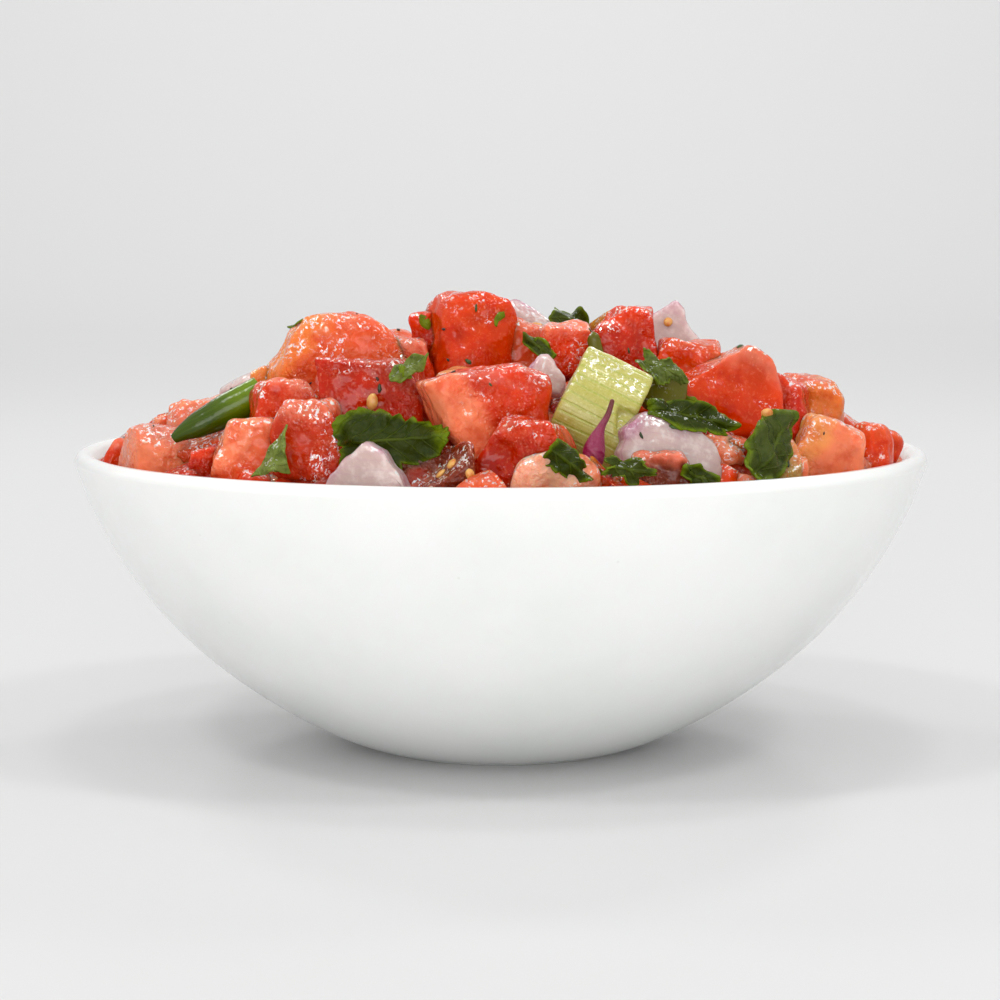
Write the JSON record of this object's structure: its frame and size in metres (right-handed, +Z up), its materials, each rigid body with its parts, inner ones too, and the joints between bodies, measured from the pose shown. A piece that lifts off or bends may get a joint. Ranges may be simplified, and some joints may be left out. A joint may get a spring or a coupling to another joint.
{
  "type": "salsa in a bowl",
  "caption": "Chopped tomato salsa with red onion, celery and coriander leaf, heaped above the rim of a round white serving bowl.",
  "frame": {"origin": "centre of the bowl's foot, on the surface it stands on", "axes": "+Z up along the bowl's axis, -Y towards the side the picture shows, +X to its right"},
  "size_m": [0.1498, 0.1498, 0.0807],
  "materials": {
    "porcelain": "gloss",
    "tomato": "gloss",
    "onion": "gloss",
    "purple_onion": "gloss",
    "celery": "gloss",
    "green_pepper": "gloss",
    "spring_onion": "gloss",
    "coriander": "gloss"
  },
  "bodies": {
    "root": {"bowl": "porcelain", "celery_back": "celery", "celery_front": "celery", "green_stick": "spring_onion", "leaf_back_1": "coriander", "leaf_back_2": "coriander", "leaf_back_3": "coriander", "leaf_back_4": "coriander", "leaf_back_5": "coriander", "leaf_by_onion": "coriander", "leaf_front_curly": "coriander", "leaf_front_dark": "coriander", "leaf_front_right": "coriander", "leaf_left_pointed": "coriander", "leaf_left_serrated": "coriander", "leaf_right_curled": "coriander", "leaf_right_folded": "coriander", "leaf_right_long": "coriander", "leaf_strip": "coriander", "leaf_top": "coriander", "onion_back_1": "onion", "onion_back_2": "onion", "onion_back_3": "onion", "onion_back_4": "onion", "onion_back_5": "onion", "onion_by_celery": "onion", "onion_front_left": "onion", "onion_front_right": "onion", "onion_tip": "purple_onion", "onion_top_left": "onion", "onion_top_right": "onion", "pepper_back": "green_pepper", "pepper_front": "green_pepper", "pepper_strip": "green_pepper", "salsa_heap": "tomato"}
  },
  "joints": []
}
